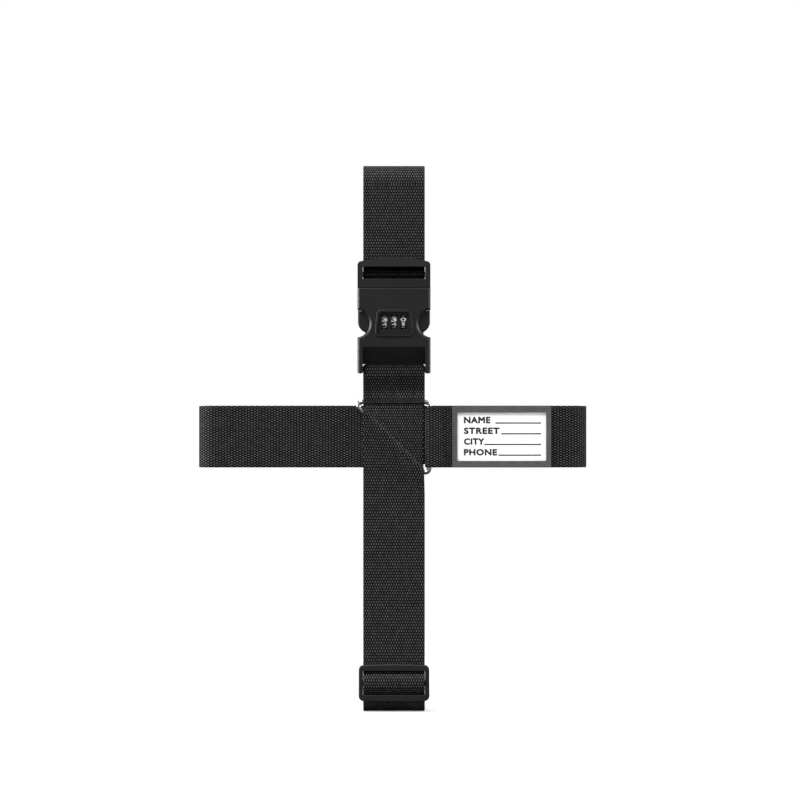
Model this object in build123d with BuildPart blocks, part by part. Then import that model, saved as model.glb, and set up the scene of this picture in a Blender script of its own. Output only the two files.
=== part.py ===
from build123d import *
import math
import os

# Cross-shaped luggage strap: one 50 mm webbing laid as two crossed loops round a cabin case,
# joined on the front by a triangle ring and closed by a combination-lock side-release buckle.
# Row frame: +X right, +Z up, front faces -Y. "Depth" means the distance in front of the
# XZ plane, so depth 100 is y = -100. The origin is the middle of the bottom run's outer face.

# ---------------------------------------------------------------- driving dimensions (mm)
WEB_W = 50.0  # webbing width
WEB_T = 1.3  # webbing thickness
GAP = 0.1  # air between neighbouring plies
PITCH = WEB_T + GAP  # from one ply to the next

CASE_D = 200.0  # depth of the case that the strap is set to
CASE_H = 438.4
CASE_LEFT = -157.4  # the case's two sides
CASE_RIGHT = 155.3
CASE_EDGE_R = 12.0  # rounding of the case's edges

FRONT = CASE_D / 2  # depth of the case's front face
CASE_Z0 = 2 * PITCH  # the case stands on two plies
CASE_Z1 = CASE_Z0 + CASE_H
CROSS_Z = 223.5  # height of the crossing's middle
SIDE_Z0 = CROSS_Z - WEB_W / 2
SIDE_Z1 = CROSS_Z + WEB_W / 2
FOLD_Z0 = SIDE_Z0 - 20.0  # where the upright ply starts to climb over the ring

RING_R = 2.0  # triangle ring's wire radius
RING_BEND = 3.2  # bend radius of its corners
WRAP_R = RING_R + GAP + WEB_T / 2  # middle of a ply wrapped on the wire
RING_DEPTH = FRONT + PITCH + GAP + RING_R
RING_X = WEB_W / 2 + GAP + WRAP_R + WEB_T / 2  # upright bar
RING_Z = SIDE_Z1 + GAP + WRAP_R + WEB_T / 2  # top bar
HYP = CROSS_Z - (WRAP_R + WEB_T / 2) * math.sqrt(2)  # long bar: z = HYP - x

BUCKLE_W = 59.2
BUCKLE_BACK = FRONT + 0.4
BUCKLE_FRONT = BUCKLE_BACK + 17.0
SPLIT = BUCKLE_BACK + 4.0  # where back cover and front shell meet
WALL = 2.0
SIDE_WALL = 2.0
FEM_Z0 = 274.8  # tips of the female half's legs
FEM_BODY_Z0 = 282.3  # bottom of its body, between the legs
FEM_Z1 = 343.8  # its mouth
SLOPE_Z = 296.4  # where the front starts to slope back
SLOPE_DEPTH = 109.4  # where the slope ends
CAV_Z0 = 297.5  # floor of the latch chamber
CAV_HALF = BUCKLE_W / 2 - SIDE_WALL
LEG_W = 4.3
LINK_BAR_Z = 278.0
LINK_BAR_DEPTH = 107.3
LINK_BAR_R = 2.4

SCOOP_X = 31.0  # finger scoops in the female half's sides
SCOOP_Z = 315.2
SCOOP_R = 11.3

DIAL_Z = 316.4
DIAL_R = 6.5
DIAL_W = 5.0
DIAL_PITCH = 7.6
DIAL_DEPTH = 110.1  # dial axle
PANEL_DEPTH = BUCKLE_FRONT - 1.4  # sunk face round the dials
PANEL_BACK = BUCKLE_FRONT - 3.0
BEZEL_Z0 = 304.5  # raised frame round the dials, wider at the bottom
BEZEL_Z1 = 326.4
BEZEL_HALF0 = 15.8
BEZEL_HALF1 = 13.8
BEZEL_RIM = 1.9
BEZEL_RAISE = 0.8
RIB_X = 13.0  # ribs that hold the dial axle
RIB_HALF = 0.8
AXLE_R = 1.1
AXLE_L = 28.6
DIAL_FLUTES = 10  # a shallow groove between every two digits
DIALS = {"left": -DIAL_PITCH, "middle": 0.0, "right": DIAL_PITCH}

MALE_Z0 = FEM_Z1 + GAP
MALE_SHOULDER_Z = 364.9
MALE_CROWN_Z = 369.0
MALE_BACK = FRONT + 2 * PITCH + 0.2
MALE_FRONT = BUCKLE_FRONT - 0.4
MALE_W = BUCKLE_W - 0.2
PLUG_Z0 = 338.0
LADDER_Z = 355.0
LADDER_DEPTH = 107.3
LADDER_R = 2.2
MALE_WIN_Z0 = 351.3
MALE_WIN_Z1 = 361.0
MALE_WIN_HALF = 25.2
MALE_FALL = 0.8  # how far the front falls back at the crown

PRONG_IN = 17.6
PRONG_OUT = 29.2
PRONG_ARM_OUT = 23.4
PRONG_TIP_Z = 307.6
PRONG_SHOULDER_Z = 325.2
PRONG_CATCH_X = 26.9  # outside this the shoulder follows the scoop's edge
PRONG_HEAD_R = 9.0
PRONG_BACK = 103.6
PRONG_FRONT = 114.2
EDGE_BREAK = 0.5  # chamfer where the two halves meet
WINDOW_BREAK = 0.3  # chamfer round the two webbing windows
SIDE_CHAMFER = 1.4  # long soft edges down the female half's front
LEG_TIP_R = 1.2
SCOOP_BEVEL = 1.6
RIB_H = 8.0
RIB_BACK = 106.6
SLOT_H = 11.4
POCKET_W = 33.0  # thick patch of the front wall that carries the dials
POCKET_H = 24.0

SLIDER_W = 57.5
SLIDER_H = 30.3
SLIDER_Z = 23.75
SLIDER_WIN_W = 50.2
SLIDER_WIN_H = 19.5
SLIDER_WIN_R = 0.6
SLIDER_CORNER_R = 4.0
SLIDER_CHAMFER = 0.7
SLIDER_BACK = FRONT + 2 * PITCH + GAP
SLIDER_T = 5.0
SLIDER_BAR_BACK = SLIDER_BACK + PITCH + GAP
SLIDER_BAR_T = 2.8
SLIDER_BAR_H = 5.0

TAG_X0 = 47.2
TAG_W = 80.4
TAG_WIN_W = 72.2
TAG_WIN_H = 39.3
TAG_RIM = 2.2
TAG_BACKING_T = 0.5
CARD_T = 0.4
CLEAR_T = 0.3
TAG_FRAME_T = 0.8
SHEET_GAP = 0.05

SCREWS = [(-20.5, 291.5), (20.5, 291.5), (-12.5, 333.5), (12.5, 333.5)]
POST_R = 2.7
PILOT_R = 1.1  # hole that the screw's thread bites into
HEAD_R = 2.2
HEAD_T = 1.3
HEAD_SINK = 0.2  # the heads lie this far below the cover's face
SINK_R = 2.3
SHANK_R = 1.05
SCREW_L = 10.4
PILOT_L = 7.0
RECESS_L = 2.4
RECESS_W = 0.5
RECESS_T = 0.7

RESET_Z = 290.5
RESET_R = 2.0
RESET_FLANGE_R = 3.2
RELIEF_W = 12.0  # hollow behind the slope that houses the reset button and its spring
RELIEF_H = 9.0
RELIEF_T = 5.8

os.makedirs("parts", exist_ok=True)


def keep(builder, label):
    """Name a finished piece and write its file."""
    builder.part.label = label
    export_step(builder.part, f"parts/{label}.step")


def ply(n):
    """Middle of ply n, as a distance out from the case: 0 lies on the case, 1 on ply 0."""
    return GAP + WEB_T / 2 + n * PITCH


def front_plane(depth):
    """Sketch plane whose x is X and whose y is Z; extruding goes towards the front."""
    return Plane.XZ.offset(depth)


def rounded(radius_in, n):
    """Bend radius of ply n where the case's edge has the given radius."""
    return radius_in + ply(n)


def bent_line(points, radii, close=False):
    """Straight runs joined by tangent arcs, one radius for each corner, in the open BuildLine."""
    corners = points if close else points[1:-1]
    starts = []
    ends = []
    for i, corner in enumerate(corners):
        at = i if close else i + 1
        here = Vector(*corner)
        back = (Vector(*points[at - 1]) - here).normalized()
        on = (Vector(*points[(at + 1) % len(points)]) - here).normalized()
        half = math.radians(back.get_angle(on)) / 2
        inward = (back + on).normalized()
        start = here + back * (radii[i] / math.tan(half))
        end = here + on * (radii[i] / math.tan(half))
        middle = here + inward * (radii[i] / math.sin(half) - radii[i])
        ThreePointArc(start, middle, end)
        starts.append(start)
        ends.append(end)
    if close:
        stops = list(zip(ends, starts[1:] + starts[:1]))
    else:
        stops = list(zip([Vector(*points[0])] + ends, starts + [Vector(*points[-1])]))
    for a, b in stops:
        Line(a, b)


# ---------------------------------------------------------------- upright loop, two plies
def upright_points(n, start_z, end_z):
    """From the front run at start_z, down and round the bottom, back and top, to end_z."""
    y = FRONT + ply(n)
    low = CASE_Z0 - ply(n)
    high = CASE_Z1 + ply(n)
    return [(-y, start_z), (-y, low), (y, low), (y, high), (-y, high), (-y, end_z)]


UPRIGHT_END = CASE_Z1 - CASE_EDGE_R - 0.4  # where the top corner has become a straight run
UPRIGHT_START = CASE_Z0 + CASE_EDGE_R + 0.4

for label, n in (("inner_loop_webbing", 0), ("outer_loop_webbing", 1)):
    with BuildPart() as loop:
        with BuildSketch(Plane.YZ):
            with BuildLine():
                bent_line(
                    upright_points(n, UPRIGHT_START, UPRIGHT_END), [rounded(CASE_EDGE_R, n)] * 4
                )
            trace(line_width=WEB_T)
        extrude(amount=WEB_W / 2, both=True)
    keep(loop, label)

# front run of the outer ply, from the bottom corner up to the fold
with BuildPart() as front_run:
    with BuildSketch(front_plane(FRONT + ply(1) - WEB_T / 2)):
        with Locations((0, (UPRIGHT_START + FOLD_Z0) / 2)):
            Rectangle(WEB_W, FOLD_Z0 - UPRIGHT_START)
    extrude(amount=WEB_T)
keep(front_run, "front_run_webbing")

# inner ply's tail between the bottom corner and the slider
TAIL_Z1 = SLIDER_Z - 1.0
with BuildPart() as tail:
    with BuildSketch(front_plane(FRONT + ply(0) - WEB_T / 2)):
        with Locations((0, (UPRIGHT_START + TAIL_Z1) / 2)):
            Rectangle(WEB_W, TAIL_Z1 - UPRIGHT_START)
    extrude(amount=WEB_T)
keep(tail, "slider_tail_webbing")

# the two plies between the top corner and the buckle's male half
WRAP_TOP_Z = 366.0
for label, n in (("buckle_run_inner_webbing", 0), ("buckle_run_outer_webbing", 1)):
    with BuildPart() as buckle_run:
        with BuildSketch(front_plane(FRONT + ply(n) - WEB_T / 2)):
            with Locations((0, (WRAP_TOP_Z + UPRIGHT_END) / 2)):
                Rectangle(WEB_W, UPRIGHT_END - WRAP_TOP_Z)
        extrude(amount=WEB_T)
    keep(buckle_run, label)

# ply wrapped round the male half's ladder bar: in behind, round the bar, back out behind
BAR_PLY = LADDER_R + GAP + WEB_T / 2
with BuildPart() as ladder_wrap:
    with BuildSketch(Plane.YZ):
        with BuildLine():
            bent_line(
                [
                    (-FRONT - ply(0), WRAP_TOP_Z - SHEET_GAP),
                    (-FRONT - ply(0), MALE_WIN_Z1 + 1.5),
                    (-LADDER_DEPTH + 1.92, LADDER_Z - BAR_PLY),
                    (-LADDER_DEPTH - BAR_PLY, LADDER_Z - BAR_PLY),
                    (-LADDER_DEPTH - BAR_PLY, LADDER_Z + 1.55),
                    (-FRONT - ply(1), MALE_WIN_Z1 + 1.2),
                    (-FRONT - ply(1), WRAP_TOP_Z - SHEET_GAP),
                ],
                [3.0, 2.6, 2.6, 2.6, 1.5],
            )
        trace(line_width=WEB_T)
    extrude(amount=WEB_W / 2, both=True)
keep(ladder_wrap, "ladder_bar_webbing")

# ---------------------------------------------------------------- level loop, one ply
OVER = FRONT + ply(2)  # it crosses over the upright loop at the back
LEFT = CASE_LEFT - ply(0)
RIGHT = CASE_RIGHT + ply(0)
RING_END_X = TAG_X0 - 0.2
with BuildPart() as level_loop:
    with BuildSketch(Plane.XY.offset(SIDE_Z0)):
        with BuildLine():
            bent_line(
                [
                    (-WEB_W / 2, -FRONT - ply(0)),
                    (LEFT, -FRONT - ply(0)),
                    (LEFT, FRONT + ply(0)),
                    (-WEB_W * 0.6, OVER),
                    (WEB_W * 0.6, OVER),
                    (RIGHT, FRONT + ply(0)),
                    (RIGHT, -FRONT - ply(0)),
                    (RING_END_X, -FRONT - ply(0)),
                ],
                [rounded(CASE_EDGE_R, 0)] * 2 + [40.0] * 2 + [rounded(CASE_EDGE_R, 0)] * 2,
            )
        trace(line_width=WEB_T)
    extrude(amount=WEB_W)
keep(level_loop, "level_loop_webbing")

# end turned round the ring's upright bar and stitched down on itself
with BuildPart() as ring_end:
    with BuildSketch(Plane.XY.offset(SIDE_Z0)):
        with BuildLine():
            bent_line(
                [
                    (RING_END_X, -FRONT - ply(0)),
                    (RING_X - WRAP_R, -FRONT - ply(0)),
                    (RING_X - WRAP_R, -RING_DEPTH - WRAP_R),
                    (RING_X + 2.0, -RING_DEPTH - WRAP_R),
                    (RING_X + 10.5, -FRONT - ply(1)),
                    (RING_END_X - 0.3, -FRONT - ply(1)),
                ],
                [WRAP_R - 0.05, WRAP_R - 0.05, 4.0, 6.0],
            )
        trace(line_width=WEB_T)
    extrude(amount=WEB_W)
keep(ring_end, "ring_end_webbing")

# 45 degree fold over the ring's long bar: the upright ply in front, the level ply behind
along_bar = Plane(
    origin=(HYP / 2 - CROSS_Z / 2, -RING_DEPTH, HYP / 2 + CROSS_Z / 2),
    x_dir=(1, 0, 1),
    z_dir=(1, 0, -1),
)
FOLD_REACH = 60.0
RISE = [(-FOLD_REACH, FRONT + ply(1) - RING_DEPTH), (-13.0, FRONT + ply(1) - RING_DEPTH), (-1.5, WRAP_R)]
with BuildPart() as fold_foot:  # the front ply where it climbs over the bar's lower end
    with BuildSketch(along_bar):
        with BuildLine():
            bent_line(RISE + [(WRAP_R, WRAP_R), (WRAP_R, 0)], [12.0, 3.0, WRAP_R - 0.05])
        trace(line_width=WEB_T)
    extrude(amount=FOLD_REACH, both=True)
    with Locations((0, -RING_DEPTH, (FOLD_Z0 + SIDE_Z0) / 2)):
        Box(WEB_W, 4 * WRAP_R, SIDE_Z0 - FOLD_Z0, mode=Mode.INTERSECT)

with BuildPart() as fold:
    with BuildSketch(along_bar):
        with BuildLine():
            bent_line(
                RISE + [(WRAP_R, WRAP_R), (WRAP_R, -WRAP_R), (-FOLD_REACH, -WRAP_R)],
                [12.0, 3.0, WRAP_R - 0.05, WRAP_R - 0.05],
            )
        trace(line_width=WEB_T)
    extrude(amount=FOLD_REACH, both=True)
    with Locations((0, -RING_DEPTH, CROSS_Z)):
        Box(WEB_W, 4 * WRAP_R, WEB_W, mode=Mode.INTERSECT)
    add(fold_foot.part)
keep(fold, "fold_webbing")

# short link between the ring's top bar and the female half's bar, drawn in at its neck
LINK_PLY = LINK_BAR_R + GAP + WEB_T / 2
NECK_Z = RING_Z + 9.5
NECK_BACK = RING_DEPTH - 0.9
NECK_FRONT = RING_DEPTH + 1.4
SPREAD_Z = RING_Z + 2.2  # the plies spread over the ring's bar below here
LINK_TOP_Z = LINK_BAR_Z - 1.5 * LINK_PLY
with BuildPart() as link:
    with BuildSketch(Plane.YZ):
        with BuildLine():
            bent_line(
                [
                    (-RING_DEPTH - WRAP_R, RING_Z - WRAP_R),
                    (-RING_DEPTH + WRAP_R, RING_Z - WRAP_R),
                    (-RING_DEPTH + WRAP_R, SPREAD_Z),
                    (-NECK_BACK, NECK_Z),
                    (-LINK_BAR_DEPTH + LINK_PLY, LINK_TOP_Z),
                    (-LINK_BAR_DEPTH + LINK_PLY, LINK_BAR_Z + LINK_PLY),
                    (-LINK_BAR_DEPTH - LINK_PLY, LINK_BAR_Z + LINK_PLY),
                    (-LINK_BAR_DEPTH - LINK_PLY, LINK_TOP_Z),
                    (-NECK_FRONT, NECK_Z),
                    (-RING_DEPTH - WRAP_R, SPREAD_Z),
                ],
                [WRAP_R - 0.1] * 2 + [3.0, 8.0, 8.0] + [LINK_PLY - 0.1] * 2 + [5.0, 8.0, 3.0],
                close=True,
            )
        trace(line_width=WEB_T)
    extrude(amount=WEB_W / 2, both=True)
keep(link, "link_webbing")

# ---------------------------------------------------------------- triangle ring
with BuildPart() as ring:
    with BuildLine() as ring_path:
        ring_corners = [(RING_X, RING_Z), (RING_X, HYP - RING_X), (HYP - RING_Z, RING_Z)]
        bent_line([(x, -RING_DEPTH, z) for x, z in ring_corners], [RING_BEND] * 3, close=True)
    centre_line = ring_path.wires()[0]
    with BuildSketch(Plane(origin=centre_line @ 0, z_dir=centre_line % 0)):
        Circle(RING_R)
    sweep(path=centre_line)
keep(ring, "triangle_ring")

# ---------------------------------------------------------------- buckle, female half
def female_outline():
    """Body between mouth and bottom."""
    with Locations((0, (FEM_BODY_Z0 + FEM_Z1) / 2)):
        Rectangle(BUCKLE_W, FEM_Z1 - FEM_BODY_Z0)


def bezel_outline(inset):
    """The dial frame's four-sided outline, or its opening when set in."""
    low = (BEZEL_HALF0 - inset, BEZEL_Z0 + inset)
    high = (BEZEL_HALF1 - inset, BEZEL_Z1 - inset)
    Polygon((-low[0], low[1]), low, high, (-high[0], high[1]), align=None)


with BuildPart() as shell:
    with BuildSketch(front_plane(SPLIT)):
        female_outline()
        for side in (-1, 1):
            with Locations((side * (BUCKLE_W - LEG_W) / 2, (FEM_Z0 + SLOPE_Z) / 2)):
                Rectangle(LEG_W, SLOPE_Z - FEM_Z0)
    extrude(amount=BUCKLE_FRONT - SPLIT)
    # long soft edges down both sides of the front
    front_edges = shell.faces().sort_by(Axis.Y)[0].edges().filter_by(Axis.Z)
    chamfer(front_edges.group_by(SortBy.LENGTH)[-1], SIDE_CHAMFER)
    # both legs' tips are rounded
    leg_tips = shell.edges().filter_by(Axis.Y).group_by(Axis.Z)[0]
    fillet(leg_tips, LEG_TIP_R)
    # the front slopes back between the legs
    with BuildSketch(Plane.YZ):
        with BuildLine():
            Polyline(
                (-BUCKLE_FRONT, SLOPE_Z),
                (-SLOPE_DEPTH, FEM_BODY_Z0),
                (-SLOPE_DEPTH, FEM_Z0 - 1),
                (-BUCKLE_FRONT - 1, FEM_Z0 - 1),
                (-BUCKLE_FRONT - 1, SLOPE_Z),
                close=True,
            )
        make_face()
    extrude(amount=BUCKLE_W / 2 - LEG_W, both=True, mode=Mode.SUBTRACT)
    mouth_edge = shell.faces().sort_by(Axis.Y)[0].edges().sort_by(Axis.Z)[-1]
    chamfer(mouth_edge, EDGE_BREAK)
    # latch chamber, open at the mouth
    with BuildSketch(front_plane(SPLIT)):
        with Locations((0, (CAV_Z0 + FEM_Z1) / 2)):
            Rectangle(2 * CAV_HALF, FEM_Z1 - CAV_Z0)
    extrude(amount=BUCKLE_FRONT - WALL - SPLIT, mode=Mode.SUBTRACT)
    # thicker front wall behind the dials
    with BuildSketch(front_plane(PANEL_BACK)):
        with Locations((0, DIAL_Z - 1.0)):
            Rectangle(POCKET_W, POCKET_H)
    extrude(amount=BUCKLE_FRONT - WALL - PANEL_BACK)
    # finger scoops right through both sides
    with BuildSketch(front_plane(SPLIT)):
        for side in (-1, 1):
            with Locations((side * SCOOP_X, SCOOP_Z)):
                Circle(SCOOP_R)
    extrude(amount=BUCKLE_FRONT - SPLIT, mode=Mode.SUBTRACT)
    # bevel round each scoop
    for side in (-1, 1):
        with Locations(Location((side * SCOOP_X, -BUCKLE_FRONT + 0.8, SCOOP_Z), (90, 0, 0))):
            Cone(SCOOP_R - 0.1, SCOOP_R + SCOOP_BEVEL, SCOOP_BEVEL + 0.1, mode=Mode.SUBTRACT)
    # raised frame round the dials
    with BuildSketch(front_plane(BUCKLE_FRONT)):
        bezel_outline(0)
        fillet(vertices(), 3.4)
    extrude(amount=BEZEL_RAISE)
    bezel_edges = shell.faces().sort_by(Axis.Y)[0].edges()
    fillet(bezel_edges, 0.5)
    with BuildSketch(front_plane(PANEL_DEPTH)):
        bezel_outline(BEZEL_RIM)
        fillet(vertices(), 2.2)
    extrude(amount=3.0, mode=Mode.SUBTRACT)
    # one slot per dial
    with BuildSketch(front_plane(PANEL_BACK)):
        for x in DIALS.values():
            with Locations((x, DIAL_Z)):
                Rectangle(DIAL_W + 0.4, SLOT_H)
    extrude(amount=3.0, mode=Mode.SUBTRACT)
    # ribs that hold the axle
    for side in (-1, 1):
        with BuildSketch(Plane.YZ.offset(side * RIB_X)):
            with Locations((-(PANEL_BACK + RIB_BACK) / 2, DIAL_Z)):
                Rectangle(PANEL_BACK - RIB_BACK, RIB_H)
        extrude(amount=RIB_HALF, both=True)
    with Locations(Location((0, -DIAL_DEPTH, DIAL_Z), (0, 90, 0))):
        Cylinder(AXLE_R + 0.05, 40.0, mode=Mode.SUBTRACT)
    # screw posts beside the mouth
    for x, z in SCREWS[2:]:
        with BuildSketch(front_plane(SPLIT)):
            with Locations((x, z)):
                Circle(POST_R)
        extrude(amount=BUCKLE_FRONT - WALL - SPLIT)
    # relief for the reset button
    with BuildSketch(front_plane(SPLIT)):
        with Locations((0, RESET_Z)):
            Rectangle(RELIEF_W, RELIEF_H)
    extrude(amount=RELIEF_T, mode=Mode.SUBTRACT)
    # screw holes
    with BuildSketch(front_plane(SPLIT)):
        with Locations(*SCREWS):
            Circle(PILOT_R)
    extrude(amount=PILOT_L, mode=Mode.SUBTRACT)
    # bar for the link webbing
    with Locations(Location((0, -LINK_BAR_DEPTH, LINK_BAR_Z), (0, 90, 0))):
        Cylinder(LINK_BAR_R, BUCKLE_W - 2 * LEG_W + 1.0)
keep(shell, "female_front_shell")

with BuildPart() as cover:
    with BuildSketch(front_plane(BUCKLE_BACK)):
        female_outline()
        fillet(vertices(), 1.5)
    extrude(amount=SPLIT - BUCKLE_BACK)
    chamfer(cover.faces().sort_by(Axis.Y)[-1].edges().filter_by(Axis.Z), 0.8)
    with BuildSketch(front_plane(BUCKLE_BACK + WALL)):
        with Locations((0, (CAV_Z0 + FEM_Z1) / 2)):
            Rectangle(2 * CAV_HALF, FEM_Z1 - CAV_Z0)
    extrude(amount=SPLIT - BUCKLE_BACK, mode=Mode.SUBTRACT)
    for x, z in SCREWS[2:]:
        with BuildSketch(front_plane(BUCKLE_BACK + WALL)):
            with Locations((x, z)):
                Circle(POST_R)
        extrude(amount=SPLIT - BUCKLE_BACK - WALL)
    with BuildSketch(front_plane(BUCKLE_BACK)):
        for side in (-1, 1):
            with Locations((side * SCOOP_X, SCOOP_Z)):
                Circle(SCOOP_R)
        with Locations((0, RESET_Z)):
            Circle(RESET_R + 0.1)
        with Locations(*SCREWS):
            Circle(SHANK_R + 0.15)
    extrude(amount=SPLIT - BUCKLE_BACK, mode=Mode.SUBTRACT)
    with BuildSketch(front_plane(BUCKLE_BACK)):
        with Locations(*SCREWS):
            Circle(SINK_R)
    extrude(amount=HEAD_SINK + HEAD_T, mode=Mode.SUBTRACT)
keep(cover, "female_back_cover")

with BuildPart() as screws:
    with BuildSketch(front_plane(BUCKLE_BACK + HEAD_SINK)):
        with Locations(*SCREWS):
            Circle(HEAD_R)
    extrude(amount=HEAD_T)
    with BuildSketch(front_plane(BUCKLE_BACK + HEAD_SINK)):
        with Locations(*SCREWS):
            Circle(SHANK_R)
    extrude(amount=SCREW_L)
    # cross recess in each head
    with BuildSketch(front_plane(BUCKLE_BACK + HEAD_SINK)):
        with Locations(*SCREWS):
            Rectangle(RECESS_L, RECESS_W)
            Rectangle(RECESS_W, RECESS_L)
    extrude(amount=RECESS_T, mode=Mode.SUBTRACT)
keep(screws, "cover_screws")

# ---------------------------------------------------------------- combination lock
with BuildPart() as axle:
    with Locations(Location((0, -DIAL_DEPTH, DIAL_Z), (0, 90, 0))):
        Cylinder(AXLE_R, AXLE_L)
    chamfer(axle.faces().filter_by(Axis.X).edges(), 0.3)
keep(axle, "dial_axle")

SLEEVE_R = 3.2
FLANGE_R = 4.1
KEY_W = 1.0
SLEEVE_OVER = 0.3  # how far a sleeve stands out of its dial on the left
FLANGE_GAP = 0.2  # and on the right, up to its flange
FLANGE_T = 1.0
GATE_W = 3.6
GATE_H = 3.2
GATE_Z0 = 2.2  # bottom of the gate above the axle, just under the dropped tooth
for label, x in DIALS.items():
    dial_plane = Plane(origin=(x, -DIAL_DEPTH, DIAL_Z), x_dir=(0, 1, 0), z_dir=(1, 0, 0))
    with BuildPart() as dial:
        with BuildSketch(dial_plane):
            Circle(DIAL_R)
            with PolarLocations(DIAL_R + 0.25, DIAL_FLUTES, start_angle=90 + 180 / DIAL_FLUTES):
                Circle(0.6, mode=Mode.SUBTRACT)
            Circle(SLEEVE_R + 0.1, mode=Mode.SUBTRACT)
            with Locations((0, SLEEVE_R)):
                Rectangle(KEY_W + 0.2, 1.8, mode=Mode.SUBTRACT)
        extrude(amount=DIAL_W / 2, both=True)
    keep(dial, f"dial_{label}")

    with BuildPart() as sleeve:
        with BuildSketch(dial_plane.offset(-DIAL_W / 2 - SLEEVE_OVER)):
            Circle(SLEEVE_R)
            with Locations((0, SLEEVE_R)):
                Rectangle(KEY_W, 1.4)
        extrude(amount=DIAL_W + SLEEVE_OVER + FLANGE_GAP)
        # flange with the gate that lets the latch plate's tooth in
        with BuildSketch(dial_plane.offset(DIAL_W / 2 + FLANGE_GAP)):
            Circle(FLANGE_R)
            with Locations((0, GATE_Z0 + GATE_H / 2)):
                Rectangle(GATE_W, GATE_H, mode=Mode.SUBTRACT)
        extrude(amount=FLANGE_T)
        with BuildSketch(dial_plane.offset(-DIAL_W)):
            Circle(AXLE_R + 0.08)
        extrude(amount=3 * DIAL_W, mode=Mode.SUBTRACT)
    keep(sleeve, f"cam_sleeve_{label}")

# leaf with one finger per dial, which clicks the dials from digit to digit
LEAF_Z = DIAL_Z + DIAL_R + 0.4
LEAF_BACK = BUCKLE_BACK + WALL + 0.15
LEAF_T = 0.5
FINGER_L = 7.2
FINGER_T = 0.4
with BuildPart() as detent:
    with Locations((0, -(LEAF_BACK + LEAF_T / 2), LEAF_Z + 2.0)):
        Box(24.0, LEAF_T, 4.0)
    for x in DIALS.values():
        with Locations((x, -(LEAF_BACK + FINGER_L / 2), LEAF_Z + FINGER_T / 2)):
            Box(3.0, FINGER_L, FINGER_T)
keep(detent, "detent_spring")

# wedge plate: the squeezed prongs press it down, if all three gates stand under its teeth
PLATE_Z0 = CAV_Z0 + 2.7
PLATE_Z1 = DIAL_Z - DIAL_R - 3.0
PLATE_T = 3.0
PLATE_BACK = DIAL_DEPTH - PLATE_T / 2
PLATE_HALF = PRONG_IN - 0.15
FLANK_Z0 = PRONG_TIP_Z - 0.15  # the prong's tip rests just above here
FLANK_Z1 = 310.1
FLANK_TOP_X = 13.3
WING_IN = 11.6
ARM_BACK = SPLIT  # arms run up behind the cam sleeves' flanges
ARM_T = 1.2
TOOTH_X = DIAL_W / 2 + 0.7  # from a dial's middle to its sleeve's flange
TOOTH_W = 0.9
TOOTH_Z = DIAL_Z + FLANGE_R + 0.2
TOOTH_BACK = DIAL_DEPTH - 1.3
TOOTH_FRONT = DIAL_DEPTH + 1.3
HOOK_Z0 = TOOTH_Z + 1.5
HOOK_Z1 = HOOK_Z0 + 1.2
with BuildPart() as latch:
    with BuildSketch(front_plane(PLATE_BACK)):
        with BuildLine():
            Polyline(
                (-PLATE_HALF, PLATE_Z0),
                (PLATE_HALF, PLATE_Z0),
                (PLATE_HALF, FLANK_Z0),
                (FLANK_TOP_X, FLANK_Z1),
                (WING_IN, FLANK_Z1),
                (WING_IN, PLATE_Z1),
                (-WING_IN, PLATE_Z1),
                (-WING_IN, FLANK_Z1),
                (-FLANK_TOP_X, FLANK_Z1),
                (-PLATE_HALF, FLANK_Z0),
                close=True,
            )
        make_face()
        # thin spring legs that push the plate back up off the chamber's floor
        for side in (-1, 1):
            with Locations(Location((side * 8.0, (CAV_Z0 + PLATE_Z0) / 2 + 0.2), side * 20.0)):
                Rectangle(0.6, PLATE_Z0 - CAV_Z0)
    extrude(amount=PLATE_T)
    for x in DIALS.values():
        with BuildSketch(Plane.YZ.offset(x + TOOTH_X)):
            with BuildLine():
                Polyline(
                    (-PLATE_BACK - 0.1, PLATE_Z0 + 2.0),
                    (-ARM_BACK, PLATE_Z0 + 2.0),
                    (-ARM_BACK, HOOK_Z1),
                    (-TOOTH_FRONT, HOOK_Z1),
                    (-TOOTH_FRONT, TOOTH_Z),
                    (-TOOTH_BACK, TOOTH_Z),
                    (-TOOTH_BACK, HOOK_Z0),
                    (-ARM_BACK - ARM_T, HOOK_Z0),
                    (-ARM_BACK - ARM_T, PLATE_Z1),
                    (-PLATE_BACK - 0.1, PLATE_Z1),
                    close=True,
                )
            make_face()
        extrude(amount=TOOTH_W / 2, both=True)
keep(latch, "latch_plate")

with BuildPart() as reset:
    with BuildSketch(front_plane(BUCKLE_BACK + 0.3)):
        with Locations((0, RESET_Z)):
            Circle(RESET_R)
    extrude(amount=SPLIT - BUCKLE_BACK)
    with BuildSketch(front_plane(SPLIT + 0.2)):
        with Locations((0, RESET_Z)):
            Circle(RESET_FLANGE_R)
    extrude(amount=0.9)
keep(reset, "reset_button")

SPRING_H = 4.0
SPRING_PITCH = 1.0
SPRING_R = 1.9
SPRING_WIRE_R = 0.2
with BuildPart() as reset_spring:
    with BuildLine():
        coil = Helix(
            SPRING_PITCH, SPRING_H, SPRING_R, center=(0, -SPLIT - 1.35, RESET_Z), direction=(0, -1, 0)
        )
    with BuildSketch(Plane(origin=coil @ 0, z_dir=coil % 0)):
        Circle(SPRING_WIRE_R)
    sweep(path=coil, is_frenet=True)
keep(reset_spring, "reset_spring")

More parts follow.
